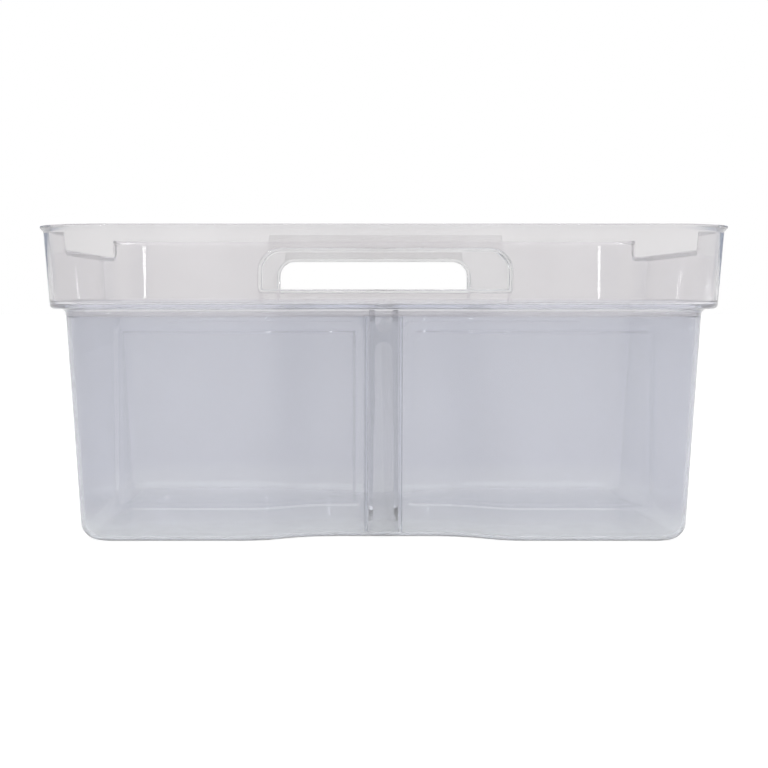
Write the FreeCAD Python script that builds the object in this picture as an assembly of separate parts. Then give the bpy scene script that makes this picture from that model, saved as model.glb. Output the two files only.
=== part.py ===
import FreeCAD, Part
import math
import os

# Cleaning caddy in clear plastic: a carrying collar over a two-pocket tub, with a lift-out divider
# and a lined hand hole at the front and the rear.
# Millimetres. +Z is up, the front faces -Y, and the origin is the centre of the base's underside.

# Overall size, over the rim lip
WIDTH = 403.0
DEPTH = 280.0
HEIGHT = 183.0

# Shells
WALL = 2.2
FLOOR = 2.4
FIT_GAP = 0.05

# Rim: a lip flared outwards, lower along the two sides than at the front and the rear
LIP_REACH = 1.8
LIP_HEIGHT = 3.4
LIP_EDGE = 1.3
RIM_CORNER_RADIUS = 42.0
SIDE_RIM_DROP = 12.0
SIDE_RIM_FRONT_Y = -52.0
SIDE_RIM_REAR_Y = 121.0
SIDE_RIM_STEP_RADIUS = 3.0

# Collar and ledge
COLLAR_DRAFT = math.tan(math.radians(5.0))
LEDGE_TOP_Z = 137.6
LEDGE_THICKNESS = 2.6
LEDGE_STEP = 8.9
LEDGE_CORNER_RADIUS = 2.3
LEDGE_INNER_FILLET = 2.5
SKIRT_FILLET = 3.5
SEAM_Z = 130.4

# Tub
TUB_DRAFT = math.tan(math.radians(4.1))
BASE_RADIUS = 10.0
FLOOR_FILLET = 8.0
TONGUE_THICKNESS = 1.0
TONGUE_HEIGHT = 3.6
WAIST_DEPTH = 17.0
WAIST_HALF_WIDTH = 26.0
WAIST_SHOULDER = 83.0

# Hand holes and their liners
HOLE_WIDTH = 143.4
HOLE_BOTTOM_Z = 144.0
HOLE_TOP_Z = 169.6
HOLE_TOP_RADIUS = 13.0
HOLE_BOTTOM_RADIUS = 3.0
LINER_THICKNESS = 2.2
LINER_PROUD = 0.8
LINER_DEPTH = 9.0
UPSTAND_HEIGHT = 7.0
UPSTAND_HALF_WIDTH = 66.0

# Divider: a double wall with a trough in its top and a hollow below
DIVIDER_THICKNESS = 17.2
DIVIDER_TOP_Z = 136.2
DIVIDER_END_GAP = 0.4
DIVIDER_FLOOR_GAP = 0.3
TROUGH_WIDTH = 10.2
TROUGH_BOTTOM_Z = 121.0
HOLLOW_TOP_Z = 115.7
HOLLOW_TOP_WIDTH = 10.4
HOLLOW_STEP_Z = 68.0
HOLLOW_STEP = 0.6
HOLLOW_FOOT_WIDTH = 12.6
RIB_WIDTH = 2.0
RIB_REACH = 3.0
RIB_SIDE_GAP = 0.4

HALF_X = WIDTH / 2 - LIP_REACH
HALF_Y = DEPTH / 2 - LIP_REACH
LEDGE_BOTTOM_Z = LEDGE_TOP_Z - LEDGE_THICKNESS
SIDE_RIM_Z = HEIGHT - SIDE_RIM_DROP
WAIST_RUN = WAIST_SHOULDER - WAIST_HALF_WIDTH
WAIST_RADIUS = (WAIST_RUN**2 + WAIST_DEPTH**2) / (4 * WAIST_DEPTH)
WAIST_ANGLE = math.asin(WAIST_RUN / (2 * WAIST_RADIUS))


def collar_inset(z):
    """How far the collar's outer face stands inside the rim's at height z."""
    return COLLAR_DRAFT * (HEIGHT - z)


def tub_inset(z):
    """How far the tub's outer face stands inside the rim's at height z."""
    return collar_inset(LEDGE_BOTTOM_Z) + LEDGE_STEP + TUB_DRAFT * (LEDGE_BOTTOM_Z - z)


WAIST_REFERENCE_INSET = tub_inset(LEDGE_BOTTOM_Z / 2)


def arc(centre, radius, start, end, z):
    """Arc edge about centre, from angle start to angle end in radians."""
    angles = (start, (start + end) / 2, end)
    points = [
        FreeCAD.Vector(centre[0] + radius * math.cos(a), centre[1] + radius * math.sin(a), z)
        for a in angles
    ]
    return Part.Arc(*points).toShape()


def line(start, end, z):
    """Straight edge between two plan points at height z."""
    return Part.LineSegment(FreeCAD.Vector(*start, z), FreeCAD.Vector(*end, z)).toShape()


def plain_outline(z, inset):
    """The rim's rounded rectangle moved inwards by inset, as a wire at height z."""
    half_x, half_y = HALF_X - inset, HALF_Y - inset
    radius = RIM_CORNER_RADIUS - inset
    cx, cy = half_x - radius, half_y - radius
    quarter = math.pi / 2
    edges = [
        arc((-cx, -cy), radius, 2 * quarter, 3 * quarter, z),
        line((-cx, -half_y), (cx, -half_y), z),
        arc((cx, -cy), radius, 3 * quarter, 4 * quarter, z),
        line((half_x, -cy), (half_x, cy), z),
        arc((cx, cy), radius, 0.0, quarter, z),
        line((cx, half_y), (-cx, half_y), z),
        arc((-cx, cy), radius, quarter, 2 * quarter, z),
        line((-half_x, cy), (-half_x, -cy), z),
    ]
    return Part.Wire(edges)


def waisted_front(z, inset):
    """Edges of the front side from left to right, stepping in at the waist by an S of two arcs."""
    half_x, half_y = HALF_X - inset, HALF_Y - inset
    corner_x = half_x - (RIM_CORNER_RADIUS - inset)
    shift = inset - WAIST_REFERENCE_INSET
    outer_r, inner_r = WAIST_RADIUS - shift, WAIST_RADIUS + shift
    outer_y, inner_y = outer_r - half_y, WAIST_DEPTH - half_y - inner_r
    down, up, turn = -math.pi / 2, math.pi / 2, WAIST_ANGLE
    return [
        line((-corner_x, -half_y), (-WAIST_SHOULDER, -half_y), z),
        arc((-WAIST_SHOULDER, outer_y), outer_r, down, down + turn, z),
        arc((-WAIST_HALF_WIDTH, inner_y), inner_r, up + turn, up, z),
        line((-WAIST_HALF_WIDTH, WAIST_DEPTH - half_y), (WAIST_HALF_WIDTH, WAIST_DEPTH - half_y), z),
        arc((WAIST_HALF_WIDTH, inner_y), inner_r, up, up - turn, z),
        arc((WAIST_SHOULDER, outer_y), outer_r, down - turn, down, z),
        line((WAIST_SHOULDER, -half_y), (corner_x, -half_y), z),
    ]


def waisted_outline(z, inset):
    """The plain outline with both long sides stepped in across the middle."""
    half_x, half_y = HALF_X - inset, HALF_Y - inset
    radius = RIM_CORNER_RADIUS - inset
    cx, cy = half_x - radius, half_y - radius
    quarter = math.pi / 2
    centre, z_axis = FreeCAD.Vector(0, 0, z), FreeCAD.Vector(0, 0, 1)
    front = waisted_front(z, inset)
    back = [edge.copy() for edge in front]
    for edge in back:
        edge.rotate(centre, z_axis, 180)
    edges = [arc((-cx, -cy), radius, 2 * quarter, 3 * quarter, z)]
    edges += front
    edges += [arc((cx, -cy), radius, 3 * quarter, 4 * quarter, z)]
    edges += [line((half_x, -cy), (half_x, cy), z)]
    edges += [arc((cx, cy), radius, 0.0, quarter, z)]
    edges += back
    edges += [arc((-cx, cy), radius, quarter, 2 * quarter, z)]
    edges += [line((-half_x, cy), (-half_x, -cy), z)]
    return Part.Wire(edges)


def block(outline, inset, low, high, extra=0.0):
    """Drafted solid between two heights, set inwards by extra all the way round."""
    wires = [outline(z, inset(z) + extra) for z in (low, high)]
    return Part.makeLoft(wires, True, True)


def level_edges(shape, z, inside=None):
    """Edges that lie flat at height z, and within the box (half_x, half_y) if one is given."""
    found = []
    for edge in shape.Edges:
        box = edge.BoundBox
        if abs(box.ZMin - z) > 1e-4 or abs(box.ZMax - z) > 1e-4:
            continue
        if inside and (max(-box.XMin, box.XMax) > inside[0] or max(-box.YMin, box.YMax) > inside[1]):
            continue
        found.append(edge)
    return found


def level_ends(shape, z):
    """Edges that run along X at height z."""
    return [edge for edge in level_edges(shape, z) if edge.BoundBox.YLength < 1e-4]


def box_between(low, high):
    """Box from its lowest corner to its highest."""
    size = [b - a for a, b in zip(low, high)]
    return Part.makeBox(*size, FreeCAD.Vector(*low))


def side_bands(low, high, radius=0.0):
    """Two boxes over the lowered stretches of the side walls, their lower ends rounded by radius."""
    inner = HALF_X - RIM_CORNER_RADIUS
    right = box_between((inner, SIDE_RIM_FRONT_Y, low), (WIDTH, SIDE_RIM_REAR_Y, high))
    if radius:
        ends = [e for e in right.Edges if e.BoundBox.XLength > 1 and e.BoundBox.ZMax < low + 1e-4]
        right = right.makeFillet(radius, ends)
    left = right.mirror(FreeCAD.Vector(0, 0, 0), FreeCAD.Vector(1, 0, 0))
    return right.fuse(left)


def hole_prism(margin, low_y, high_y):
    """Hand hole's shape run along Y and drawn in by margin: large radii above, small ones below."""
    half = HOLE_WIDTH / 2 - margin
    low, high = HOLE_BOTTOM_Z + margin, HOLE_TOP_Z - margin
    prism = box_between((-half, low_y, low), (half, high_y, high))
    along_y = [e for e in prism.Edges if e.BoundBox.YLength > (high_y - low_y) / 2]
    upper = [e for e in along_y if e.BoundBox.ZMin > (low + high) / 2]
    prism = prism.makeFillet(HOLE_TOP_RADIUS - margin, upper)
    along_y = [e for e in prism.Edges if e.BoundBox.YLength > (high_y - low_y) / 2]
    lower = [e for e in along_y if e.BoundBox.ZMax < low + 1e-3]
    return prism.makeFillet(max(HOLE_BOTTOM_RADIUS - margin, 0.5), lower)


def front_slab(outer_offset, inner_offset, half_width, low, high):
    """Slab that follows the collar's drafted front wall, from one offset inwards to another."""
    def at(z, offset):
        return FreeCAD.Vector(-half_width, collar_inset(z) - HALF_Y + offset, z)

    corners = [at(low, outer_offset), at(low, inner_offset), at(high, inner_offset), at(high, outer_offset)]
    face = Part.Face(Part.makePolygon(corners + corners[:1]))
    return face.extrude(FreeCAD.Vector(2 * half_width, 0, 0))


def flared_lip(top_z):
    """Solid ring blank for the lip below top_z: a cone out from the wall, then a thin upright edge."""
    low_z, edge_z = top_z - LIP_HEIGHT, top_z - LIP_EDGE
    root = plain_outline(low_z, collar_inset(low_z))
    tip = plain_outline(edge_z, collar_inset(edge_z) - LIP_REACH)
    cone = Part.makeLoft([root, tip], True, True)
    edge = block(plain_outline, collar_inset, edge_z, top_z, -LIP_REACH)
    return cone.fuse(edge)


def make_collar():
    """Rim, walls, ledge and skirt in one moulding."""
    outer = block(plain_outline, collar_inset, LEDGE_BOTTOM_Z, HEIGHT)
    outer = outer.makeFillet(LEDGE_CORNER_RADIUS, level_edges(outer, LEDGE_BOTTOM_Z))
    skirt = block(waisted_outline, tub_inset, SEAM_Z, LEDGE_BOTTOM_Z)
    body = outer.fuse(skirt).removeSplitter()
    top_of_skirt = tub_inset(LEDGE_BOTTOM_Z) - 0.1
    reach = (HALF_X - top_of_skirt, HALF_Y - top_of_skirt)
    body = body.makeFillet(SKIRT_FILLET, level_edges(body, LEDGE_BOTTOM_Z, reach))

    cavity = block(plain_outline, collar_inset, LEDGE_TOP_Z, HEIGHT + 1, WALL)
    cavity = cavity.makeFillet(LEDGE_INNER_FILLET, level_edges(cavity, LEDGE_TOP_Z))
    mouth = block(waisted_outline, tub_inset, SEAM_Z - 1, LEDGE_TOP_Z + 1, WALL)
    rebate = block(waisted_outline, tub_inset, SEAM_Z - 1, SEAM_Z + TONGUE_HEIGHT + FIT_GAP,
                   WALL - TONGUE_THICKNESS - FIT_GAP)

    low_lip = flared_lip(SIDE_RIM_Z).common(side_bands(SIDE_RIM_Z - LIP_HEIGHT, SIDE_RIM_Z))
    collar = body.fuse(flared_lip(HEIGHT)).fuse(low_lip).cut(cavity)
    collar = collar.cut(side_bands(SIDE_RIM_Z, HEIGHT + 1, SIDE_RIM_STEP_RADIUS))
    collar = collar.cut(mouth).cut(rebate)
    return collar.cut(hole_prism(0.0, -DEPTH, DEPTH)).removeSplitter()


def make_tub():
    """Floor, waisted walls, guide ribs and the tongue that laps inside the collar."""
    outer = block(waisted_outline, tub_inset, 0.0, SEAM_Z)
    outer = outer.makeFillet(BASE_RADIUS, level_edges(outer, 0.0))
    cavity = block(waisted_outline, tub_inset, FLOOR, LEDGE_TOP_Z, WALL)
    cavity = cavity.makeFillet(FLOOR_FILLET, level_edges(cavity, FLOOR))
    tongue = block(waisted_outline, tub_inset, SEAM_Z - 1, SEAM_Z + TONGUE_HEIGHT, WALL - TONGUE_THICKNESS)
    tub = outer.fuse(tongue).cut(cavity)

    rib_inner = DIVIDER_THICKNESS / 2 + RIB_SIDE_GAP
    half_turn = (FreeCAD.Vector(0, 0, 0), FreeCAD.Vector(0, 0, 1), 180)
    for x in (rib_inner, -rib_inner - RIB_WIDTH):
        rib = make_rib(x).common(outer)
        opposite = rib.copy()
        opposite.rotate(*half_turn)
        tub = tub.fuse(rib).fuse(opposite)
    return tub.removeSplitter()


def waist_face_y(z, inwards):
    """Y of the front waist at height z, a distance inwards from the tub's outer face."""
    return tub_inset(z) + WAIST_DEPTH - HALF_Y + inwards


def make_rib(x):
    """Upright guide rib on the front waist, from x to x + RIB_WIDTH, rooted in wall and floor."""
    low, high = FLOOR / 2, SEAM_Z
    corners = [
        FreeCAD.Vector(x, waist_face_y(low, WALL / 2), low),
        FreeCAD.Vector(x, waist_face_y(low, WALL + RIB_REACH), low),
        FreeCAD.Vector(x, waist_face_y(high, WALL + RIB_REACH), high),
        FreeCAD.Vector(x, waist_face_y(high, WALL / 2), high),
    ]
    face = Part.Face(Part.makePolygon(corners + corners[:1]))
    return face.extrude(FreeCAD.Vector(RIB_WIDTH, 0, 0))


def divider_section():
    """The divider's section in XZ as a face: two walls, a web, a trough above and a hollow below."""
    half = DIVIDER_THICKNESS / 2
    foot_z = FLOOR + DIVIDER_FLOOR_GAP
    section = box_between((-half, 0, foot_z), (half, 1, DIVIDER_TOP_Z))

    trough_r = TROUGH_WIDTH / 2
    trough = Part.makeCylinder(trough_r, 1, FreeCAD.Vector(0, 0, TROUGH_BOTTOM_Z + trough_r), FreeCAD.Vector(0, 1, 0))
    over = box_between((-trough_r, 0, TROUGH_BOTTOM_Z + trough_r), (trough_r, 1, DIVIDER_TOP_Z + 1))

    crown_r = HOLLOW_TOP_WIDTH / 2
    crown_z = HOLLOW_TOP_Z - crown_r
    crown = Part.makeCylinder(crown_r, 1, FreeCAD.Vector(0, 0, crown_z), FreeCAD.Vector(0, 1, 0))
    foot_r = HOLLOW_FOOT_WIDTH / 2
    sides = [
        (crown_r, crown_z),
        (crown_r, HOLLOW_STEP_Z + HOLLOW_STEP),
        (crown_r + HOLLOW_STEP, HOLLOW_STEP_Z),
        (foot_r, foot_z - 1),
    ]
    points = [FreeCAD.Vector(x, 0, z) for x, z in sides]
    points += [FreeCAD.Vector(-x, 0, z) for x, z in reversed(sides)]
    shaft = Part.Face(Part.makePolygon(points + points[:1])).extrude(FreeCAD.Vector(0, 1, 0))
    return section.cut(trough).cut(over).cut(crown).cut(shaft)


def make_divider():
    """The section run from waist to waist, its ends drafted like the walls that it stands between."""
    low, high = FLOOR + DIVIDER_FLOOR_GAP, DIVIDER_TOP_Z
    reach = -waist_face_y(high, WALL)
    section = divider_section()
    end_face = min(section.Faces, key=lambda f: f.CenterOfMass.y)
    prism = end_face.extrude(FreeCAD.Vector(0, 2 * reach, 0))
    prism.translate(FreeCAD.Vector(0, -reach, 0))

    ends = [waist_face_y(z, WALL + DIVIDER_END_GAP) for z in (low, high)]
    half = DIVIDER_THICKNESS
    corners = [
        FreeCAD.Vector(-half, ends[0], low),
        FreeCAD.Vector(-half, -ends[0], low),
        FreeCAD.Vector(-half, -ends[1], high),
        FreeCAD.Vector(-half, ends[1], high),
    ]
    room = Part.Face(Part.makePolygon(corners + corners[:1])).extrude(FreeCAD.Vector(2 * half, 0, 0))
    room = room.makeFillet(FLOOR_FILLET + DIVIDER_END_GAP, level_ends(room, low))
    return prism.common(room)


def make_front_grip():
    """Hand hole liner with an upstand behind the bar above the hole and two legs on the ledge."""
    ring = hole_prism(FIT_GAP, -DEPTH, 0.0).cut(hole_prism(LINER_THICKNESS, -DEPTH - 1, 1.0))
    ring = ring.common(front_slab(-LINER_PROUD, LINER_DEPTH, WIDTH / 4, LEDGE_TOP_Z, HEIGHT))

    behind, back = WALL + FIT_GAP, 2 * WALL
    upstand = front_slab(behind, back, UPSTAND_HALF_WIDTH, HOLE_TOP_Z - LINER_THICKNESS, HOLE_TOP_Z + UPSTAND_HEIGHT)

    outer = HOLE_WIDTH / 2 - FIT_GAP
    inner = outer - LINER_THICKNESS
    foot = LEDGE_TOP_Z + FIT_GAP
    clear_of_fillet = WALL + LEDGE_INNER_FILLET + FIT_GAP
    legs = front_slab(clear_of_fillet, LINER_DEPTH, outer, foot, HOLE_BOTTOM_Z + LINER_THICKNESS)
    legs = legs.cut(box_between((-inner, -DEPTH, 0), (inner, 0, HEIGHT)))
    return ring.fuse(upstand).fuse(legs).removeSplitter()


def make_rear_grip():
    """The front liner turned half round."""
    grip = make_front_grip()
    grip.rotate(FreeCAD.Vector(0, 0, 0), FreeCAD.Vector(0, 0, 1), 180)
    return grip


MAKERS = {
    "collar": make_collar,
    "tub": make_tub,
    "divider": make_divider,
    "front_grip": make_front_grip,
    "rear_grip": make_rear_grip,
}


def single_solid(shape):
    """The one solid that a shape holds."""
    solids = shape.Solids
    if len(solids) != 1:
        raise ValueError(f"expected one solid, found {len(solids)}")
    return solids[0]


os.makedirs("parts", exist_ok=True)
for node, make in MAKERS.items():
    solid = single_solid(make())
    solid.exportStep(f"parts/{node}.step")
    box = solid.BoundBox
    print(f"{node}: {solid.Volume / 1000:.1f} cm3, valid {solid.isValid()},",
          f"x {box.XMin:.1f}..{box.XMax:.1f}, y {box.YMin:.1f}..{box.YMax:.1f}, z {box.ZMin:.1f}..{box.ZMax:.1f}")
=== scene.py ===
import math

import bmesh
import bpy
import numpy as np
from bpy.props import FloatProperty, FloatVectorProperty, PointerProperty
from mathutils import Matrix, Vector


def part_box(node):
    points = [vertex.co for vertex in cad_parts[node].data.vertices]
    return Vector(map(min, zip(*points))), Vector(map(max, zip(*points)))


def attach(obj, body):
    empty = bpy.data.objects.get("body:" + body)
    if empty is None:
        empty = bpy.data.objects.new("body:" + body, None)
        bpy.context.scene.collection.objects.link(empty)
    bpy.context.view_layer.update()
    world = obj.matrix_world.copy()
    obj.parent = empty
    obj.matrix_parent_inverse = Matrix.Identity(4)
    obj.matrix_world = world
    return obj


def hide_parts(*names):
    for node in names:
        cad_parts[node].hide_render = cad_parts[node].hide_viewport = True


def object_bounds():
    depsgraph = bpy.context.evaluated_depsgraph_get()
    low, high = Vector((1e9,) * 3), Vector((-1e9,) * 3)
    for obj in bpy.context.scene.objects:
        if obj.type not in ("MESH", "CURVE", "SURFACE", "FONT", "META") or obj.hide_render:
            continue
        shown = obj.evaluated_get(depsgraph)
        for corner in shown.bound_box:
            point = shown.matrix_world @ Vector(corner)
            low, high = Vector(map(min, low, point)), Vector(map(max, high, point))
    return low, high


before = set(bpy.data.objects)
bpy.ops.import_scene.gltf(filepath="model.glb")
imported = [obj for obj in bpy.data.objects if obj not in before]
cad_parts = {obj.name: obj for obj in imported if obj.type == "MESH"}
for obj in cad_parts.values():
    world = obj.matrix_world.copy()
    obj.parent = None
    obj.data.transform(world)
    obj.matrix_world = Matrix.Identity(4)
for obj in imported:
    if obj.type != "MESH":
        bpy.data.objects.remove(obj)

bl_info = {
    "name": "Clear cleaning caddy",
    "version": (1, 0, 0),
    "blender": (4, 5, 0),
    "location": "3D View > Sidebar > Caddy",
    "description": "Builds the shells, divider, grips and finishes of a clear plastic cleaning caddy",
    "category": "Object",
}

CAD_LOW, CAD_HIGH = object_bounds()
COLLAR_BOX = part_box("collar")
TUB_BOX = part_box("tub")
DIVIDER_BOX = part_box("divider")
GRIP_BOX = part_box("front_grip")
MM = 0.001
LAP = TUB_BOX[1].z - COLLAR_BOX[0].z


def size(name, mm, description):
    """Length property given in millimetres and held in metres."""
    return FloatProperty(name=name, description=description, default=mm * MM, unit="LENGTH", precision=5)


def colour(name, value, description):
    """Linear RGB colour property."""
    return FloatVectorProperty(
        name=name, description=description, default=value, subtype="COLOR", size=3, min=0.0, max=1.0
    )


class CaddyShape(bpy.types.PropertyGroup):
    """Sizes of the mouldings."""

    width: size("Width", (CAD_HIGH.x - CAD_LOW.x) / MM, "Overall width over the rim lip")
    depth: size("Depth", (CAD_HIGH.y - CAD_LOW.y) / MM, "Overall depth over the rim lip")
    height: size("Height", (CAD_HIGH.z - CAD_LOW.z) / MM, "Height of the front and rear rims")
    wall: size("Wall", 2.2, "Wall thickness of collar and tub")
    floor: size("Floor", 2.4, "Thickness of the tub's floor")
    gap: size("Fit gap", 0.05, "Clearance between parts that are fitted together")
    lip_reach: size("Lip reach", 1.8, "How far the rim lip stands out from the wall")
    lip_height: size("Lip height", 3.4, "Height of the flared part of the rim lip")
    lip_edge: size("Lip edge", 1.3, "Height of the lip's upright edge")
    rim_radius: size("Rim corner radius", 42.0, "Plan radius of the rim's corners")
    side_drop: size("Side rim drop", 12.0, "How much lower the side rims are")
    side_front: size("Side rim front", -52.0, "Where the lowered side rim starts, along the depth")
    side_rear: size("Side rim rear", 121.0, "Where the lowered side rim ends, along the depth")
    ledge_top: size("Ledge top", 137.6, "Height of the ledge's upper face")
    ledge_thickness: size("Ledge thickness", 2.6, "Thickness of the ledge")
    ledge_step: size("Ledge step", 8.9, "How far the tub stands inside the collar under the ledge")
    ledge_radius: size("Ledge corner radius", 2.3, "Radius of the ledge's outer lower corner")
    ledge_fillet: size("Ledge fillet", 2.5, "Fillet between the ledge and the collar's inner face")
    skirt_fillet: size("Skirt fillet", 3.5, "Fillet between the ledge's underside and the skirt")
    seam: size("Seam height", COLLAR_BOX[0].z / MM, "Height at which collar and tub meet")
    tongue: size("Tongue height", LAP / MM, "How far the tub's tongue laps into the collar")
    tongue_thickness: size("Tongue thickness", 1.0, "Thickness of the tub's tongue")
    base_radius: size("Base radius", 10.0, "Outer radius along the foot of the tub")
    floor_fillet: size("Floor fillet", 8.0, "Inner radius along the foot of the tub")
    waist_depth: size("Waist depth", 17.0, "How far the long walls step in across the middle")
    waist_half: size("Waist half width", 26.0, "Half of the flat stretch of the waist")
    waist_shoulder: size("Waist shoulder", 83.0, "Where the waist starts, from the middle")
    hole_width: size("Hole width", 2 * GRIP_BOX[1].x / MM + 0.1, "Width of the hand holes")
    hole_bottom: size("Hole bottom", 144.0, "Height of the hand holes' lower edge")
    hole_top: size("Hole top", 169.6, "Height of the hand holes' upper edge")
    hole_top_radius: size("Hole upper radius", 13.0, "Radius of the hand holes' upper corners")
    hole_bottom_radius: size("Hole lower radius", 3.0, "Radius of the hand holes' lower corners")
    liner: size("Liner thickness", 2.2, "Thickness of the hand hole's liner")
    liner_proud: size("Liner proud", 0.8, "How far the liner stands out of the wall")
    liner_depth: size("Liner depth", 9.0, "How far the liner reaches inwards")
    upstand_top: size("Upstand top", GRIP_BOX[1].z / MM, "Height of the upstand behind the bar")
    upstand_half: size("Upstand half width", 66.0, "Half of the upstand's width")
    divider_half: size("Divider half thickness", DIVIDER_BOX[1].x / MM, "Half of the divider's thickness")
    divider_low: size("Divider foot", DIVIDER_BOX[0].z / MM, "Height of the divider's feet")
    divider_top: size("Divider top", DIVIDER_BOX[1].z / MM, "Height of the divider's upper edges")
    divider_end_gap: size("Divider end gap", 0.4, "Clearance between the divider and the waist walls")
    trough_width: size("Trough width", 10.2, "Width of the trough along the divider's top")
    trough_bottom: size("Trough bottom", 121.0, "Height of the trough's bottom")
    hollow_top: size("Hollow top", 115.7, "Height of the hollow's crown")
    hollow_top_width: size("Hollow width above", 10.4, "Width of the hollow under its crown")
    hollow_step: size("Hollow step height", 68.0, "Height of the small step in the hollow's walls")
    hollow_foot_width: size("Hollow width below", 12.6, "Width of the hollow at the feet")
    rib_inner: size("Rib inner face", 9.0, "Distance of the guide ribs from the middle")
    rib_width: size("Rib width", 2.0, "Width of the guide ribs")
    rib_reach: size("Rib reach", 3.0, "How far the guide ribs stand out of the wall")


class CaddyFinish(bpy.types.PropertyGroup):
    """Colours and clarity of the plastic."""

    collar_colour: colour("Collar", (0.945, 0.925, 0.928), "Milky tint of the collar")
    tub_colour: colour("Tub", (0.85, 0.85, 0.885), "Milky tint of the tub")
    divider_colour: colour("Divider", (0.97, 0.985, 1.0), "Milky tint of the divider")
    grip_colour: colour("Grips", (1.0, 0.98, 0.98), "Milky tint of the hand hole liners")
    edge_colour: colour("Depth tint", (0.50, 0.62, 0.84), "Tint that light takes on inside thick plastic")


def rounded(values):
    """Sorted values without near repeats, closer than a hundredth of a millimetre."""
    values = np.sort(np.asarray(values, float))
    return values[np.concatenate([[True], np.diff(values) > 1e-5])]


# Drafts, a hair's breadth for comparisons, and the rib width that the ribs' sections are drawn at.
COLLAR_DRAFT = math.tan(math.radians(5.0))
TUB_LEAN = math.radians(4.1)
HAIR = 1e-6
RIB_DRAWN = 2.0 * MM

# Frame beads on the pocket walls: section across, height of the section, and where the four sides stand.
BEAD_ACROSS = np.array([-2.4, -1.2, 0.0, 1.2, 2.4]) * MM
BEAD_RISE = np.array([0.0, 0.6, 1.0, 0.6, 0.0]) * 0.45 * MM
BEAD_NEAR, BEAD_FAR = 16.0 * MM, 152.0 * MM
BEAD_LOW, BEAD_HIGH = 21.0 * MM, 123.0 * MM

# Step down to the lowered side rims: distance along the rim, and share of the drop reached there.
STEP_RUN = np.array([-1.2, -0.7, -0.45, -0.35, 0.15, 0.35, 0.9, 1.8, 3.0]) * MM
STEP_FALL = np.array([0.0, 0.12, 0.45, 1.0, 9.0, 10.2, 11.2, 11.8, 12.0]) / 12.0


def collar_inset(p, z):
    """How far the collar's outer face stands inside the rim's at height z:
    the draft times the depth below the rim."""
    return COLLAR_DRAFT * (p.height - z)


def tub_inset(p, z):
    """The collar's inset under the ledge, plus the ledge's step, plus the tub's draft
    times the depth below."""
    under = p.ledge_top - p.ledge_thickness
    return collar_inset(p, under) + p.ledge_step + math.tan(TUB_LEAN) * (under - z)


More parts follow.
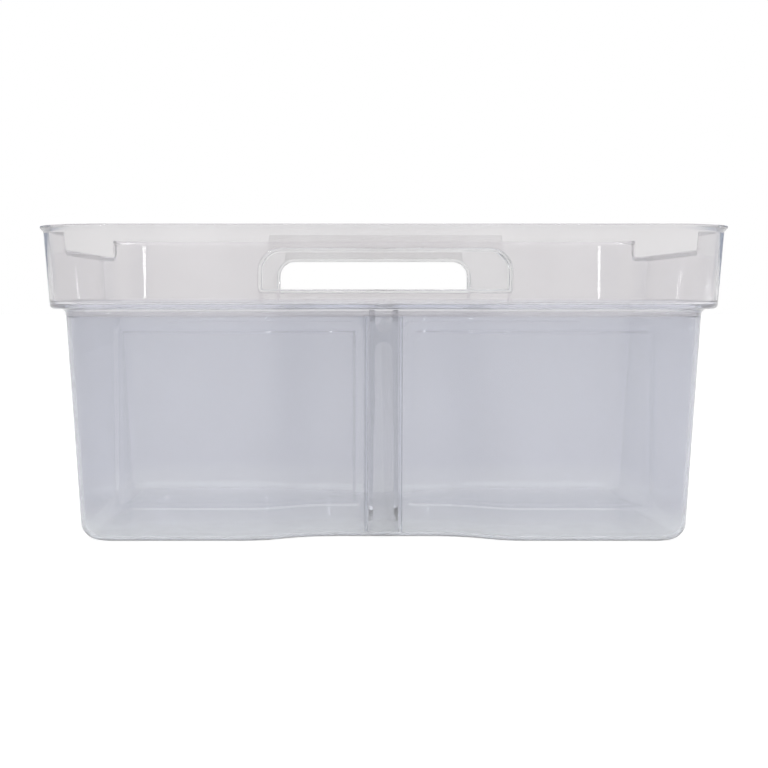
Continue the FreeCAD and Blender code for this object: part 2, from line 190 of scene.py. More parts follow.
class Outlines:
    """Matched columns round the rim's outline and the waisted outline.

    Each outline is a point and an outward normal per column. Moving a point against its normal by an
    inset gives the outline at that inset exactly, because every side is straight or an arc.
    """

    def __init__(self, p):
        half_x, half_y = p.width / 2 - p.lip_reach, p.depth / 2 - p.lip_reach
        radius = p.rim_radius
        cx, cy = half_x - radius, half_y - radius
        self.reference = tub_inset(p, (p.ledge_top - p.ledge_thickness) / 2)
        rear_angle = math.asin((p.side_rear - cy) / radius)
        self.side_front, self.side_rear = p.side_front, cy + radius * rear_angle

        x = self.front_columns(p, cx)
        angles = np.linspace(0, math.pi / 2, 19)[1:-1]
        angles = rounded(np.concatenate([angles, rear_angle - STEP_RUN / radius]))
        y = np.array([0, 12, 24, 36, 46, 62, 76, 90, 95.4]) * MM
        y = rounded(np.concatenate([y, -p.side_front - STEP_RUN, [cy]]))

        turn = -angles[::-1]
        flat_x, flat_y = np.zeros(len(x)), -np.ones(len(x))
        nx = np.concatenate([flat_x, np.cos(turn), np.ones(len(y))])
        ny = np.concatenate([flat_y, np.sin(turn), np.zeros(len(y))])
        centre_x = np.concatenate([x, np.full(len(turn) + len(y), cx)])
        centre_y = np.concatenate([np.full(len(x) + len(turn), -cy), -y[::-1]])
        plain = np.stack([centre_x + radius * nx, centre_y + radius * ny], 1)
        normal = np.stack([nx, ny], 1)
        run = np.concatenate([cy + radius * math.pi / 2 + cx - x, cy - radius * turn, y[::-1]])

        waist, waist_normal = plain - self.reference * normal, normal.copy()
        bend = (p.waist_shoulder - p.waist_half) / 2
        reach = (4 * bend**2 + p.waist_depth**2) / (4 * p.waist_depth)
        sine = np.clip(np.minimum(x - p.waist_half, p.waist_shoulder - x), 0, None) / reach
        rise = reach * (1 - np.sqrt(1 - sine**2))
        inner = x < p.waist_half + bend
        waist[: len(x), 1] += np.where(inner, p.waist_depth - rise, rise)
        waist_normal[: len(x)] = np.stack([-sine, -np.sqrt(1 - sine**2)], 1)

        self.plain, self.plain_out = self.mirrored(plain), self.mirrored(normal)
        self.waist, self.waist_out = self.mirrored(waist), self.mirrored(waist_normal)
        run = np.concatenate([-run, run[-2::-1], run[1:], -run[-2:0:-1]])
        self.run = run
        self.quarter = len(plain) - 1
        self.side = len(plain) - len(y)
        self.count = len(run)

    @staticmethod
    def front_columns(p, cx):
        """Columns along half of the front: waist bends, hand hole corners, guide ribs and frame beads."""
        half = p.hole_width / 2
        arcs = np.sin(np.radians([0, 10, 21, 32, 43, 54, 64, 73, 81, 90]))
        top = half - p.hole_top_radius + p.hole_top_radius * arcs
        bottom = half - p.hole_bottom_radius + p.hole_bottom_radius * arcs[[0, 3, 6, 9]]
        rib = np.array([-0.4, 0, 0.08, 0.4, 1.6, 1.92, 2.0, 2.4]) * MM * (p.rib_width / RIB_DRAWN)
        rib = p.rib_inner + rib
        waist = np.linspace(p.waist_half, p.waist_shoulder, 19)
        plain = np.array([0, 5, 25.4, 83.8, 95, 110, 125, 140, 155.4]) * MM
        plain = np.concatenate([plain, BEAD_NEAR + BEAD_ACROSS, BEAD_FAR + BEAD_ACROSS])
        return rounded(np.concatenate([plain, rib, waist, top, bottom, [half + 0.0008, cx]]))

    @staticmethod
    def mirrored(quarter):
        """The whole loop from one quarter: front right, rear right, rear left, front left."""
        q = quarter
        return np.concatenate([q, q[-2::-1] * (1, -1), q[1:] * (-1, -1), q[-2:0:-1] * (-1, 1)])

    def rim_drop(self, p):
        """How much lower the rim is at each column: the step's curve over the distance
        into the lowered stretch."""
        inside = np.minimum(self.run - self.side_front, self.side_rear - self.run)
        return np.interp(inside, STEP_RUN, STEP_FALL) * p.side_drop

    def sweep(self, rows):
        """Points of rows (height, inset, share), rows by columns: the plain outline at that inset
        mixed with the waisted one by share."""
        z = np.stack([np.broadcast_to(r[0], self.count) for r in rows])
        inset = np.stack([np.broadcast_to(r[1], self.count) for r in rows])[..., None]
        mix = np.array([r[2] for r in rows], float)[:, None, None]
        plain = self.plain - inset * self.plain_out
        waist = self.waist - (inset - self.reference) * self.waist_out
        return np.concatenate([(1 - mix) * plain + mix * waist, z[..., None]], axis=2)


def grid_quads(rows, columns, close_rows=False, close_columns=False):
    """Quads between neighbouring rows and columns, as an array rows by columns by 4."""
    index = np.arange(rows * columns).reshape(rows, columns)
    right = np.roll(index, -1, 1)
    quads = np.stack([index, right, np.roll(right, -1, 0), np.roll(index, -1, 0)], axis=2)
    return quads[: rows if close_rows else rows - 1, : columns if close_columns else columns - 1]


def make_object(name, patches, sharp=34.0):
    """Mesh object from patches (points, quads): doubles merged, faces outwards,
    smooth but for sharp edges."""
    points, quads, start = [], [], 0
    for xyz, faces in patches:
        xyz = xyz.reshape(-1, 3)
        points.append(xyz)
        quads.append(faces.reshape(-1, 4) + start)
        start += len(xyz)
    mesh = bpy.data.meshes.new(name)
    mesh.from_pydata(np.concatenate(points).tolist(), [], np.concatenate(quads).tolist())
    bm = bmesh.new()
    bm.from_mesh(mesh)
    bmesh.ops.remove_doubles(bm, verts=bm.verts, dist=2e-6)
    bmesh.ops.dissolve_degenerate(bm, edges=bm.edges, dist=1e-7)
    bmesh.ops.recalc_face_normals(bm, faces=bm.faces)
    open_edges = sum(1 for e in bm.edges if not e.is_manifold)
    bm.to_mesh(mesh)
    bm.free()
    print(f"{name}: {len(mesh.polygons)} faces, {open_edges} open edges")
    mesh.shade_smooth()
    mesh.set_sharp_from_angle(angle=math.radians(sharp))
    obj = bpy.data.objects.new(name, mesh)
    bpy.context.scene.collection.objects.link(obj)
    even = obj.modifiers.new("Even normals", "WEIGHTED_NORMAL")
    even.keep_sharp = True
    return obj


def arc_rows(count, start=0.0, end=90.0):
    """Sines and cosines of evenly spaced angles, in degrees."""
    a = np.radians(np.linspace(start, end, count))
    return list(zip(np.sin(a), np.cos(a)))


def between(low, high, shares):
    """Values from low to high at the given shares."""
    return [low + (high - low) * s for s in shares]


def hole_edges(p, x):
    """Heights of a hand hole's lower and upper edge at columns x:
    straight, then a quarter circle at each corner."""
    half = p.hole_width / 2

    def fall(radius):
        past = np.clip(np.abs(x) - (half - radius), 0, radius)
        return radius - np.sqrt(radius**2 - past**2)

    return p.hole_bottom + fall(p.hole_bottom_radius), p.hole_top - fall(p.hole_top_radius)


def collar_mesh(p):
    """The collar's section carried round the outlines, with the hand holes left open
    and their edges stitched."""
    lines = Outlines(p)
    top = p.height - lines.rim_drop(p)
    low_edge, high_edge = hole_edges(p, lines.plain[:, 0])
    under = p.ledge_top - p.ledge_thickness
    rows = []

    def collar(z, inwards):
        rows.append((z, collar_inset(p, z) + inwards, 0.0))

    def skirt(z, inwards):
        rows.append((z, tub_inset(p, z) + inwards, 1.0))

    collar(top - 0.5 * MM, p.wall)
    collar(top - 0.15 * MM, p.wall - 0.15 * MM)
    collar(top, p.wall - 0.5 * MM)
    collar(top, 0.45 * MM - p.lip_reach)
    collar(top - 0.13 * MM, 0.13 * MM - p.lip_reach)
    collar(top - 0.45 * MM, -p.lip_reach)
    collar(top - p.lip_edge + 0.2 * MM, -p.lip_reach)
    collar(top - p.lip_edge - 0.15 * MM, 0.2 * MM - p.lip_reach)
    collar(top - p.lip_height + 0.3 * MM, -0.2 * MM)
    collar(top - p.lip_height - 0.4 * MM, 0.0)
    for z in between(top - p.lip_height - 0.8 * MM, high_edge, (0.0, 0.5)):
        collar(z, 0.0)
    first = len(rows)
    shares = (0.0, 0.33, 0.67, 1.0)
    for z in between(high_edge, low_edge, shares):
        collar(z, 0.0)
    for z in between(low_edge, under + p.ledge_radius + 0.5 * MM, (0.5, 1.0)):
        collar(z, 0.0)
    for sine, cosine in arc_rows(6):
        z = under + p.ledge_radius * (1 - sine)
        collar(z, p.ledge_radius * (1 - cosine))
    collar(under, p.ledge_radius + 0.3 * MM)
    skirt(under, -p.skirt_fillet - 0.3 * MM)
    for sine, cosine in arc_rows(7):
        skirt(under - p.skirt_fillet * (1 - cosine), p.skirt_fillet * (sine - 1))
    skirt(p.seam + 0.25 * MM, 0.0)
    skirt(p.seam, 0.25 * MM)
    lap = p.wall - p.tongue_thickness - p.gap
    skirt(p.seam, lap)
    skirt(p.seam + p.tongue + p.gap, lap)
    skirt(p.seam + p.tongue + p.gap, p.wall)
    skirt(p.ledge_top - 0.6 * MM, p.wall)
    skirt(p.ledge_top - 0.15 * MM, p.wall - 0.15 * MM)
    skirt(p.ledge_top, p.wall - 0.6 * MM)
    skirt(p.ledge_top, p.wall - 1.0 * MM)
    collar(p.ledge_top, p.wall + p.ledge_fillet + 0.3 * MM)
    for sine, cosine in arc_rows(6):
        z = p.ledge_top + p.ledge_fillet * (1 - cosine)
        collar(z, p.wall + p.ledge_fillet * (1 - sine))
    for z in between(p.ledge_top + p.ledge_fillet + 0.5 * MM, low_edge, (0.0, 0.5)):
        collar(z, p.wall)
    last = len(rows) + len(shares) - 1
    for z in between(low_edge, high_edge, shares):
        collar(z, p.wall)
    for z in between(high_edge, top - p.lip_height, (0.5, 1.0)):
        collar(z, p.wall)

    points = lines.sweep(rows)
    quads = grid_quads(len(rows), lines.count, True, True)
    index = np.arange(len(rows) * lines.count).reshape(len(rows), lines.count)
    half = p.hole_width / 2 + HAIR
    within = np.abs(lines.plain[:, 0]) < half
    open_cells = within & np.roll(within, -1)
    step = len(shares) - 1
    keep = np.ones(quads.shape[:2], bool)
    keep[first : first + step, open_cells] = False
    keep[last - step : last, open_cells] = False
    edges = []
    cells = np.flatnonzero(open_cells)
    after = (cells + 1) % lines.count
    for outer, inner in ((first, last), (first + step, last - step)):
        corners = (index[outer, cells], index[outer, after], index[inner, after], index[inner, cells])
        edges.append(np.stack(corners, 1))
    sides = np.flatnonzero(within & (np.roll(~within, 1) | np.roll(~within, -1)))
    for k in range(step):
        a, b = first + k, last - k
        corners = (index[a, sides], index[a + 1, sides], index[b - 1, sides], index[b, sides])
        edges.append(np.stack(corners, 1))
    return points, np.concatenate([quads[keep], *edges])


def floor_patch(lines, ring):
    """Closes a ring of columns: straight lines across from each front column to the rear column opposite,
    crossed by lines from each column of one straight side to the other side."""
    first, last = lines.side, 2 * lines.quarter - lines.side
    front = np.arange(-first, first + 1)
    start, end = ring[front % lines.count], ring[(first + last - front) % lines.count]
    side = ring[first : last + 1, 1]
    across = ((side - side[0]) / (side[-1] - side[0]))[:, None, None]
    return (1 - across) * start + across * end, grid_quads(len(side), len(front))


def tub_mesh(p):
    """The tub's section from the foot outside, over the tongue, to the foot inside,
    with a patch for each floor face."""
    lines = Outlines(p)
    reach = np.interp(
        np.abs(lines.waist[:, 0]),
        p.rib_inner + np.array([0, 0.08, 0.4, 1.6, 1.92, 2.0]) * MM * (p.rib_width / RIB_DRAWN),
        np.array([0, 0.85, 1, 1, 0.85, 0]) * p.rib_reach,
    )
    rows = []

    across = np.abs(lines.waist[:, 0])
    long_side = np.abs(lines.waist_out[:, 1]) > 0.5
    upright = np.maximum(
        np.interp(across, BEAD_NEAR + BEAD_ACROSS, BEAD_RISE),
        np.interp(across, BEAD_FAR + BEAD_ACROSS, BEAD_RISE),
    )
    level = (across > BEAD_NEAR - HAIR) & (across < BEAD_FAR + HAIR)

    def bead(z):
        """Low frame round each pocket face: uprights between its two levels, levels between its uprights."""
        low_flat = np.interp(z, BEAD_LOW + BEAD_ACROSS, BEAD_RISE)
        flat = max(low_flat, np.interp(z, BEAD_HIGH + BEAD_ACROSS, BEAD_RISE))
        stands = BEAD_LOW - HAIR < z < BEAD_HIGH + HAIR
        return np.maximum(upright * stands, flat * level) * long_side

    def shell(z, inwards, rib=0.0):
        base = tub_inset(p, z)
        rows.append((z, base + np.maximum(inwards, rib), 1.0))

    def foot(radius, low, thick):
        """Quarter round at the foot, tangent to the leaning wall."""
        centre_z = low + radius
        centre = tub_inset(p, centre_z) + thick + radius / math.cos(TUB_LEAN)
        found = []
        for sine, cosine in arc_rows(10, math.degrees(TUB_LEAN), 90.0):
            z = centre_z - radius * sine
            found.append((z, centre - radius * cosine - tub_inset(p, z)))
        return found

    for z, inwards in reversed(foot(p.base_radius, 0.0, 0.0)):
        shell(z, inwards)
    for z in between(p.base_radius + 0.6 * MM, p.seam - 1.2 * MM, (0, 0.15, 0.35, 0.55, 0.75, 0.9, 1.0)):
        shell(z, 0.0)
    shell(p.seam - 0.25 * MM, 0.0)
    shell(p.seam, 0.25 * MM)
    tongue = p.wall - p.tongue_thickness
    shell(p.seam, tongue - 0.05 * MM)
    shell(p.seam + 0.05 * MM, tongue)
    tip = p.seam + p.tongue
    shell(tip - 0.2 * MM, tongue)
    shell(tip, tongue + 0.2 * MM)
    shell(tip, p.wall - 0.2 * MM)
    shell(tip - 0.2 * MM, p.wall)
    shell(p.seam + 0.3 * MM, p.wall)
    shell(p.seam + 0.2 * MM, p.wall)
    rib = p.wall + reach
    shell(p.seam, p.wall, rib - 0.3 * MM * (reach > 0.001))
    shell(p.seam - 0.4 * MM, p.wall, rib)
    heights = between(p.seam - 1.2 * MM, p.floor + p.floor_fillet + 0.6 * MM, (0, 0.25, 0.45, 0.65, 0.8, 1.0))
    for z in rounded(np.concatenate([heights, BEAD_LOW + BEAD_ACROSS, BEAD_HIGH + BEAD_ACROSS]))[::-1]:
        shell(z, p.wall + bead(z), rib)
    for z, inwards in foot(p.floor_fillet, p.floor, p.wall):
        shell(z, inwards, rib)

    points = lines.sweep(rows)
    walls = (points, grid_quads(len(rows), lines.count, False, True))
    return [walls, floor_patch(lines, points[0]), floor_patch(lines, points[-1])]


def divider_mesh(p):
    """Half sections between an inner and an outer half width at each height, run from waist to waist.

    The inner half width is the hollow's below the web, nought in the web and the trough's above it.
    The end of the run at each height follows the leaning wall, with a quarter round at the foot.
    """
    crown = p.hollow_top_width / 2
    trough = p.trough_width / 2
    crown_z, trough_z = p.hollow_top - crown, p.trough_bottom + trough
    tip, foot = 1.4 * MM, 0.9 * MM
    bends = np.radians(np.linspace(0, 90, 13))
    round_low = p.divider_low + foot * (1 - np.cos(bends[::3]))
    round_high = p.divider_top - tip * (1 - np.sin(bends[::2]))
    end_radius = p.floor_fillet + p.divider_end_gap
    z = rounded(
        np.concatenate([
            round_low,
            p.divider_low + end_radius * (1 - np.cos(np.radians([20, 35, 50, 65, 80, 90]))),
            [0.025, 0.045],
            p.hollow_step + np.array([-0.9, 0.0, 0.6, 1.2]) * MM,
            [0.085, crown_z - 0.6 * MM],
            crown_z + crown * np.sin(bends),
            p.trough_bottom + trough * (1 - np.cos(bends)),
            [trough_z + 0.6 * MM],
            round_high,
        ])
    )
    hollow = np.interp(
        z,
        [p.divider_low, p.hollow_step, p.hollow_step + 0.6 * MM],
        [p.hollow_foot_width / 2, crown + 0.6 * MM, crown],
    )
    hollow = np.where(z > crown_z, np.sqrt(np.clip(crown**2 - (z - crown_z) ** 2, 0, None)), hollow)
    channel = np.where(z < trough_z, np.sqrt(np.clip(trough**2 - (trough_z - z) ** 2, 0, None)), trough)
    web = (z > p.hollow_top - 1e-7) & (z < p.trough_bottom + 1e-7)
    inner = np.where(web, 0.0, np.where(z < p.trough_bottom, hollow, channel))
    outer = np.full(len(z), p.divider_half)
    near_low = np.clip(1 - (z - p.divider_low) / foot, 0, 1)
    near_high = np.clip(1 - (p.divider_top - z) / tip, 0, 1)
    draw_in = foot * (1 - np.sqrt(1 - near_low**2)) + tip * (1 - np.sqrt(1 - near_high**2))
    inner, outer = inner + draw_in * (inner > 0), outer - draw_in

    slope = tub_inset(p, z) + p.waist_depth - (p.depth / 2 - p.lip_reach) + p.wall + p.divider_end_gap
    round_end = np.clip(end_radius - (z - p.divider_low), 0, end_radius)
    end = -slope - (end_radius - np.sqrt(end_radius**2 - round_end**2))
    along = np.array([-1, -0.99, -0.85, -0.6, -0.3, 0, 0.3, 0.6, 0.85, 0.99, 1.0])

    patches = []
    solid = ~(web[:-1] & web[1:])
    n, m = len(z), len(along)
    heights = np.broadcast_to(z[:, None], (n, m))
    runs = end[:, None] * along
    for side in (-1, 1):
        for half, keep in ((outer, np.ones(n - 1, bool)), (inner, solid)):
            points = np.stack([np.broadcast_to(side * half[:, None], (n, m)), runs, heights], 2)
            patches.append((points, grid_quads(n, m)[keep]))
        for i in (0, m - 1):
            cap = np.stack([np.stack([side * h, runs[:, i], z], 1) for h in (inner, outer)], 1)
            patches.append((cap, grid_quads(n, 2)))
        for k in (0, n - 1):
            lines = [np.stack([np.full(m, side * h[k]), runs[k], heights[k]], 1) for h in (inner, outer)]
            patches.append((np.stack(lines, 0), grid_quads(2, m)))
    return patches


def hole_loop(p):
    """Points and outward normals round the hand hole's outline in width and height."""
    half, low, high = p.hole_width / 2, p.hole_bottom, p.hole_top
    parts = []
    corners = (
        (half - p.hole_bottom_radius, low + p.hole_bottom_radius, p.hole_bottom_radius, -90, 7),
        (half - p.hole_top_radius, high - p.hole_top_radius, p.hole_top_radius, 0, 13),
        (-half + p.hole_top_radius, high - p.hole_top_radius, p.hole_top_radius, 90, 13),
        (-half + p.hole_bottom_radius, low + p.hole_bottom_radius, p.hole_bottom_radius, 180, 7),
    )
    for cx, cz, radius, start, count in corners:
        a = np.radians(np.linspace(start, start + 90, count))
        normal = np.stack([np.cos(a), np.sin(a)], 1)
        parts.append((np.array([cx, cz]) + radius * normal, normal))
    points, normals = [], []
    for k, (xz, normal) in enumerate(parts):
        points.append(xz)
        normals.append(normal)
        following = parts[(k + 1) % 4][0][0]
        length = np.linalg.norm(following - xz[-1])
        inset = min(0.8 * MM / length, 0.3)
        shares = np.array([inset, 0.25, 0.5, 0.75, 1 - inset])[:, None]
        if k == 1:
            shares = np.array([inset, 0.2, 0.35, 0.5, 0.65, 0.8, 1 - inset])[:, None]
        points.append(xz[-1] + shares * (following - xz[-1]))
        normals.append(np.broadcast_to(normal[-1], (len(shares), 2)))
    return np.concatenate(points), np.concatenate(normals)


def grip_mesh(p, turn):
    """The liner's section carried round the hand hole, with the upstand drawn up behind the bar,
    and two legs.

    A section point is a margin inwards from the hole's edge and a depth behind the wall's outer face.
    """
    base, normal = hole_loop(p)
    r = 0.55 * MM
    inner, outer = p.liner, p.gap
    front, back = -p.liner_proud, p.liner_depth
    plate_front, plate_back = p.wall + p.gap, 2 * p.wall
    section = [(outer + r * (1 - s), front + r * (1 - c), 0.0) for s, c in arc_rows(5)]
    section += [
        (outer, plate_front, 0.0),
        (outer, plate_front, 1.0),
        (outer, plate_back, 1.0),
        (outer, plate_back, 0.0),
    ]
    section += [(outer + r * (1 - c), back - r * (1 - s), 0.0) for s, c in arc_rows(5)]
    section += [(inner - r * (1 - s), back - r * (1 - c), 0.0) for s, c in arc_rows(5)]
    section += [(inner - r * (1 - c), front + r * (1 - s), 0.0) for s, c in arc_rows(5)]
    margin, depth, lift = (np.array(v)[:, None] for v in zip(*section))

    x = base[:, 0] - margin * normal[:, 0]
    z = base[:, 1] - margin * normal[:, 1]
    bar = (np.abs(base[:, 0]) < p.upstand_half) & (normal[:, 1] > 0.2)
    z = z + lift * np.where(bar, p.upstand_top - (base[:, 1] - p.gap * normal[:, 1]), 0.0)
    y = collar_inset(p, z) - (p.depth / 2 - p.lip_reach) + depth
    ring = np.stack([x, y, z], 2)
    patches = [(ring, grid_quads(*ring.shape[:2], True, True))]

    for side in (-1, 1):
        patches.append(leg_patch(p, side))
    if turn:
        patches = [(points * (-1, -1, 1), quads) for points, quads in patches]
    return patches


def leg_patch(p, side):
    """Upright bar from the ledge into the liner: a rounded rectangle carried up,
    drawn to a point at each end."""
    outer = p.hole_width / 2 - p.gap
    x0, x1 = outer - p.liner, outer
    d0, d1 = p.wall + p.ledge_fillet + p.gap, p.liner_depth - 0.3 * MM
    low, high = p.ledge_top + p.gap, p.hole_bottom + 0.9 * MM
    a = np.radians(np.arange(0, 360, 15))
    r = 0.4 * MM
    half = np.array([(x1 - x0) / 2, (d1 - d0) / 2])
    ring = np.stack([np.cos(a), np.sin(a)], 1)
    ring = np.sign(ring.round(9)) * (half - r) + r * ring
    z = np.array([low, low, low + 0.3 * MM, high - 0.3 * MM, high, high])
    grow = np.array([0, 0.85, 1, 1, 0.85, 0])
    xy = grow[:, None, None] * ring
    zz = np.broadcast_to(z[:, None], xy.shape[:2])
    x = side * ((x0 + x1) / 2 + xy[..., 0])
    y = collar_inset(p, zz) - (p.depth / 2 - p.lip_reach) + (d0 + d1) / 2 + xy[..., 1]
    return np.stack([x, y, zz], 2), grid_quads(len(z), len(a), False, True)


class Tree:
    """Short way to add and join nodes."""

    def __init__(self, tree):
        self.tree = tree
        tree.nodes.clear()

    def add(self, kind, links=None, **values):
        """Node of a kind: values go to its properties, links go to its inputs as joins or settings."""
        node = self.tree.nodes.new(kind)
        for key, value in values.items():
            setattr(node, key, value)
        for key, value in (links or {}).items():
            if isinstance(value, bpy.types.NodeSocket):
                self.tree.links.new(value, node.inputs[key])
            else:
                node.inputs[key].default_value = value
        return node

    def map(self, value, low, high, to_low, to_high):
        """Value mapped from one range to another, clamped."""
        node = self.add("ShaderNodeMapRange", {0: value, 1: low, 2: high, 3: to_low, 4: to_high})
        return node.outputs[0]

    def math(self, operation, a, b=0.0):
        return self.add("ShaderNodeMath", {0: a, 1: b}, operation=operation).outputs[0]

    def mix(self, factor, a, b):
        node = self.add("ShaderNodeMix", data_type="RGBA")
        for key, value in ((0, factor), (6, a), (7, b)):
            if isinstance(value, bpy.types.NodeSocket):
                self.tree.links.new(value, node.inputs[key])
            else:
                node.inputs[key].default_value = value
        return node.outputs[2]


def clear_plastic(name, tint, depth_tint, clarity, depth, painted_light_tint=None, painted_light_heights=(0.0, 0.0)):
    """Milky clear moulded plastic: flow clouds in the tint, fine ripple, light scuffs, tinted with depth, and
    where asked a painted lighter low part that stands in for light.
    """
    material = bpy.data.materials.new(name)
    material.use_nodes = True
    t = Tree(material.node_tree)
    where = t.add("ShaderNodeTexCoord").outputs["Object"]
    stretched = t.add("ShaderNodeMapping", {"Vector": where, "Scale": (1.0, 1.0, 0.35)}).outputs[0]
    cloud = t.add("ShaderNodeTexNoise", {"Vector": stretched, "Scale": 14.0, "Detail": 3.0}).outputs["Fac"]
    dust = t.add("ShaderNodeTexNoise", {"Vector": where, "Scale": 900.0, "Detail": 2.0}).outputs["Fac"]
    scuff_at = t.add("ShaderNodeMapping", {"Vector": where, "Scale": (1.0, 1.0, 0.12)}).outputs[0]
    scuff = t.add("ShaderNodeTexNoise", {"Vector": scuff_at, "Scale": 260.0, "Detail": 4.0}).outputs["Fac"]
    light = tuple(min(1.0, c * 1.05) for c in tint) + (1.0,)
    dark = tuple(c * 0.96 for c in tint) + (1.0,)
    base = t.mix(t.map(cloud, 0.2, 0.8, 0.0, 1.0), dark, light)
    if painted_light_tint is not None:
        # Painted light: below the given heights the tint turns paler, standing in for light on the low part;
        # it is not a colour of the plastic.
        height = t.add("ShaderNodeSeparateXYZ", {0: where}).outputs[2]
        base = t.mix(t.map(height, painted_light_heights[0], painted_light_heights[1], 0.0, 1.0), base, tuple(painted_light_tint) + (1.0,))
    base = t.mix(t.map(scuff, 0.6, 0.85, 0.0, 0.25), base, (0.9, 0.9, 0.9, 1.0))
    rough = t.math("ADD", t.map(cloud, 0.0, 1.0, 0.0, 0.008), t.map(scuff, 0.6, 0.85, 0.0, 0.03))
    ripple = t.add("ShaderNodeBump", {"Strength": 0.006, "Distance": 0.0003, "Height": cloud}).outputs[0]
    grain_bump = {"Strength": 0.02, "Distance": 0.0001, "Height": dust, "Normal": ripple}
    grain = t.add("ShaderNodeBump", grain_bump).outputs[0]
    shader = t.add("ShaderNodeBsdfPrincipled", {
        "Base Color": base,
        "Roughness": rough,
        "IOR": 1.49,
        "Transmission Weight": clarity,
        "Normal": grain,
    })
    absorb = t.add("ShaderNodeVolumeAbsorption", {"Color": tuple(depth_tint) + (1.0,), "Density": depth})
    t.add("ShaderNodeOutputMaterial", {"Surface": shader.outputs[0], "Volume": absorb.outputs[0]})
    return material


def place(obj, body, node, material):
    """Gives the piece its material and its body, and hides the CAD node it replaces."""
    obj.data.materials.append(material)
    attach(obj, body)
    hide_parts(node)


# Clearness runs from nought, milky, to one, clear. Depth is how strongly thick plastic is tinted, per metre.
# Where a piece has a painted lighter low part, its tint changes over between the two given heights. The
# collar's ledge and skirt are painted lighter, standing in for light on the ledge.
COLLAR_PLASTIC = {"clarity": 0.83, "depth": 18.0, "painted_light_tint": (1.0, 0.985, 1.0), "painted_light_heights": (0.1405, 0.138)}
# The tub's foot is painted near white, standing in for the floor's bounce light.
TUB_PLASTIC = {"clarity": 0.82, "depth": 38.0, "painted_light_tint": (1.0, 1.0, 1.0), "painted_light_heights": (0.022, 0.004)}
DIVIDER_PLASTIC = {"clarity": 0.9, "depth": 0.5}
GRIP_PLASTIC = {"clarity": 0.86, "depth": 2.0}


class CADDY_OT_collar(bpy.types.Operator):
    """Builds the collar with its lip, hand holes, lowered side rims, ledge and skirt"""

    bl_idname = "caddy.collar"
    bl_label = "Collar"

    def execute(self, context):
        p, f = context.scene.caddy_shape, context.scene.caddy_finish
        obj = make_object("collar_shell", [collar_mesh(p)])
        material = clear_plastic("collar_clear_plastic", f.collar_colour, f.edge_colour, **COLLAR_PLASTIC)
        place(obj, "caddy", "collar", material)
        return {"FINISHED"}


class CADDY_OT_tub(bpy.types.Operator):
    """Builds the waisted tub with its guide ribs, tongue and floor"""

    bl_idname = "caddy.tub"
    bl_label = "Tub"

    def execute(self, context):
        p, f = context.scene.caddy_shape, context.scene.caddy_finish
        obj = make_object("tub_shell", tub_mesh(p))
        material = clear_plastic("tub_clear_plastic", f.tub_colour, f.edge_colour, **TUB_PLASTIC)
        place(obj, "caddy", "tub", material)
        return {"FINISHED"}


class CADDY_OT_divider(bpy.types.Operator):
    """Builds the hollow lift-out divider"""

    bl_idname = "caddy.divider"
    bl_label = "Divider"

    def execute(self, context):
        p, f = context.scene.caddy_shape, context.scene.caddy_finish
        obj = make_object("divider_wall", divider_mesh(p))
        material = clear_plastic("divider_clear_plastic", f.divider_colour, f.edge_colour, **DIVIDER_PLASTIC)
        place(obj, "divider", "divider", material)
        return {"FINISHED"}


class CADDY_OT_grips(bpy.types.Operator):
    """Builds the liners of the two hand holes"""

    bl_idname = "caddy.grips"
    bl_label = "Hand hole liners"

    def execute(self, context):
        p, f = context.scene.caddy_shape, context.scene.caddy_finish
        material = clear_plastic("grip_clear_plastic", f.grip_colour, f.edge_colour, **GRIP_PLASTIC)
        for node, turn in (("front_grip", False), ("rear_grip", True)):
            obj = make_object(f"{node}_liner", grip_mesh(p, turn))
            place(obj, "caddy", node, material)
        return {"FINISHED"}


# Levels of the surroundings: what lights the caddy, and what is seen through or in the plastic.
SURROUND_LIGHT = (0.72, 0.72, 0.72, 1)
WINDOW_SEEN = (0.80, 0.80, 0.80, 1)
GAP_SEEN = (0.26, 0.31, 0.40, 1)
FLOOR_REACH = 9.0
FLOOR_BELOW = 0.0002
FLOOR_GLOW_THROUGH_PLASTIC, FLOOR_GLOW = 0.63, 0.86
# Lamps: name, place, width, height, power.
LAMPS = (
    ("overhead_softbox", (0.1, -0.25, 1.7), 2.4, 2.0, 16.0),
    ("left_strip", (-0.55, -1.75, 0.54), 0.20, 0.16, 3.0),
    ("right_strip", (0.95, -1.65, 0.54), 0.20, 0.16, 3.0),
)
CAMERA_PLACE = (-0.0268, -0.958, 0.1435)
CAMERA_LENS, CAMERA_SHIFT_X, CAMERA_SHIFT_Y = 68.6, 0.0602, -0.117


def studio_world():
    """White to the camera. Glass and gloss see bright windows on the four main sides and overhead with
    darker gaps between them, and everything else is lit by an even soft white."""
    world = bpy.data.worlds.new("white_studio")
    world.use_nodes = True
    t = Tree(world.node_tree)
    where = t.add("ShaderNodeTexCoord").outputs["Generated"]
    x, y, z = t.add("ShaderNodeSeparateXYZ", {0: where}).outputs
    ax, ay = t.math("ABSOLUTE", x), t.math("ABSOLUTE", y)
    flat = t.math("SQRT", t.math("ADD", t.math("MULTIPLY", x, x), t.math("MULTIPLY", y, y)))
    axial = t.math("DIVIDE", t.math("MAXIMUM", ax, ay), t.math("MAXIMUM", flat, 0.001))
    window = t.map(axial, 0.88, 0.965, 0.0, 1.0)
    above = t.map(z, 0.35, 0.65, 0.0, 1.0)
    seen = t.mix(t.math("MAXIMUM", window, above), GAP_SEEN, WINDOW_SEEN)
    path = t.add("ShaderNodeLightPath")
    clear = t.math("MAXIMUM", path.outputs["Is Glossy Ray"], path.outputs["Is Transmission Ray"])
    level = t.mix(clear, SURROUND_LIGHT, seen)
    level = t.mix(path.outputs["Is Camera Ray"], level, (1, 1, 1, 1))
    back = t.add("ShaderNodeBackground", {"Color": level, "Strength": 1.0})
    t.add("ShaderNodeOutputWorld", {"Surface": back.outputs[0]})
    return world


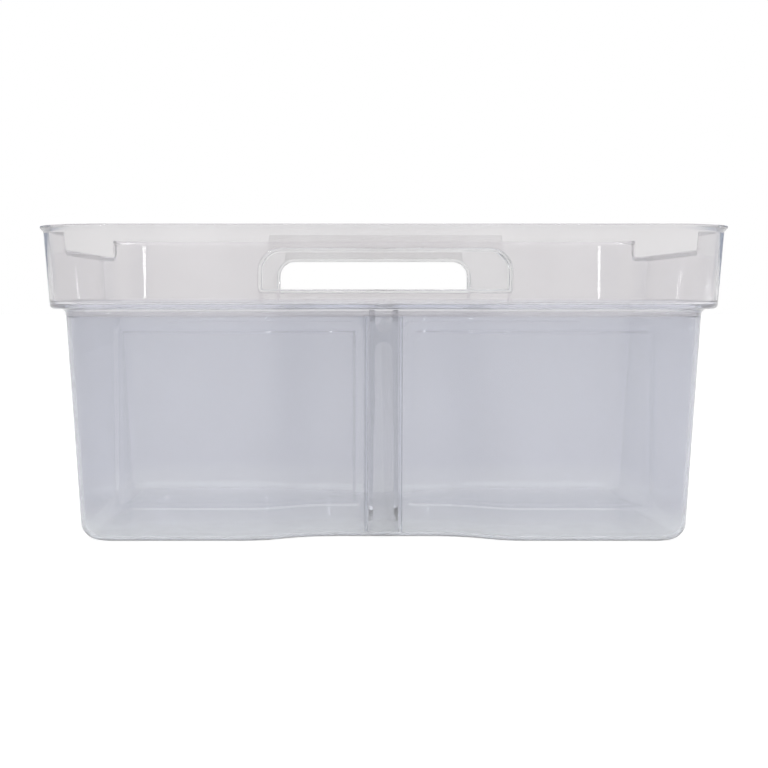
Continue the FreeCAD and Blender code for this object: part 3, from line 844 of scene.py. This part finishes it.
def floor_material():
    """Matt floor that lights the caddy as plain white does. The camera sees it glow white with a soft shadow,
    and the plastic shows it a little darker."""
    material = bpy.data.materials.new("studio_floor")
    material.use_nodes = True
    t = Tree(material.node_tree)
    path = t.add("ShaderNodeLightPath")
    glassy = t.math("MAXIMUM", path.outputs["Is Glossy Ray"], path.outputs["Is Transmission Ray"])
    seen = t.math("MAXIMUM", path.outputs["Is Camera Ray"], glassy)
    lit = t.add("ShaderNodeBsdfDiffuse", {"Color": (0.8, 0.8, 0.8, 1)})
    part = t.add("ShaderNodeBsdfDiffuse", {"Color": (0.3, 0.3, 0.3, 1)})
    strength = t.map(path.outputs["Is Camera Ray"], 0.0, 1.0, FLOOR_GLOW_THROUGH_PLASTIC, FLOOR_GLOW)
    glow = t.add("ShaderNodeEmission", {"Strength": strength})
    both = t.add("ShaderNodeAddShader", {0: part.outputs[0], 1: glow.outputs[0]})
    mix = t.add("ShaderNodeMixShader", {0: seen, 1: lit.outputs[0], 2: both.outputs[0]})
    t.add("ShaderNodeOutputMaterial", {"Surface": mix.outputs[0]})
    return material


def lamp(name, place_at, aim, width, height, power):
    """Rectangular soft lamp at a point, aimed at another."""
    data = bpy.data.lights.new(name, "AREA")
    data.shape, data.size, data.size_y, data.energy = "RECTANGLE", width, height, power
    obj = bpy.data.objects.new(name, data)
    obj.location = place_at
    obj.rotation_euler = (Vector(aim) - Vector(place_at)).to_track_quat("-Z", "Y").to_euler()
    bpy.context.scene.collection.objects.link(obj)
    return obj


class CADDY_OT_stage(bpy.types.Operator):
    """Builds the floor, the white surroundings, the lamps and the camera"""

    bl_idname = "caddy.stage"
    bl_label = "Studio"

    def execute(self, context):
        scene = context.scene
        mesh = bpy.data.meshes.new("studio_floor")
        steps = np.linspace(-FLOOR_REACH, FLOOR_REACH, 7)
        gx, gy = np.meshgrid(steps, steps)
        points = np.stack([gx, gy, np.full_like(gx, CAD_LOW.z - FLOOR_BELOW)], 2).reshape(-1, 3)
        mesh.from_pydata(points.tolist(), [], grid_quads(7, 7).reshape(-1, 4).tolist())
        floor = bpy.data.objects.new("studio_floor", mesh)
        mesh.materials.append(floor_material())
        scene.collection.objects.link(floor)
        scene.world = studio_world()

        middle = (CAD_LOW + CAD_HIGH) / 2
        for name, place_at, width, height, power in LAMPS:
            lamp(name, place_at, middle, width, height, power)

        data = bpy.data.cameras.new("camera")
        data.sensor_width = 36.0
        data.lens = CAMERA_LENS
        data.shift_x = CAMERA_SHIFT_X
        data.shift_y = CAMERA_SHIFT_Y
        camera = bpy.data.objects.new("camera", data)
        camera.location = CAMERA_PLACE
        camera.rotation_euler = (math.radians(90), 0, 0)
        scene.collection.objects.link(camera)
        scene.camera = camera
        scene.view_settings.view_transform = "Standard"
        return {"FINISHED"}


class CADDY_PT_panel(bpy.types.Panel):
    """Lists the caddy's parts and the sizes and colours that can be changed"""

    bl_idname = "CADDY_PT_panel"
    bl_label = "Cleaning caddy"
    bl_space_type = "VIEW_3D"
    bl_region_type = "UI"
    bl_category = "Caddy"

    def draw(self, context):
        for operator in OPERATORS:
            self.layout.operator(operator.bl_idname)
        for group in (context.scene.caddy_shape, context.scene.caddy_finish):
            column = self.layout.column(align=True)
            for name in group.__annotations__:
                column.prop(group, name)


OPERATORS = (CADDY_OT_collar, CADDY_OT_tub, CADDY_OT_divider, CADDY_OT_grips, CADDY_OT_stage)
CLASSES = (CaddyShape, CaddyFinish, *OPERATORS, CADDY_PT_panel)


def register():
    for cls in CLASSES:
        bpy.utils.register_class(cls)
    bpy.types.Scene.caddy_shape = PointerProperty(type=CaddyShape)
    bpy.types.Scene.caddy_finish = PointerProperty(type=CaddyFinish)


def unregister():
    del bpy.types.Scene.caddy_shape
    del bpy.types.Scene.caddy_finish
    for cls in reversed(CLASSES):
        bpy.utils.unregister_class(cls)


def main():
    register()
    bpy.ops.caddy.collar()
    bpy.ops.caddy.tub()
    bpy.ops.caddy.divider()
    bpy.ops.caddy.grips()
    bpy.ops.caddy.stage()


if __name__ == "__main__":
    main()
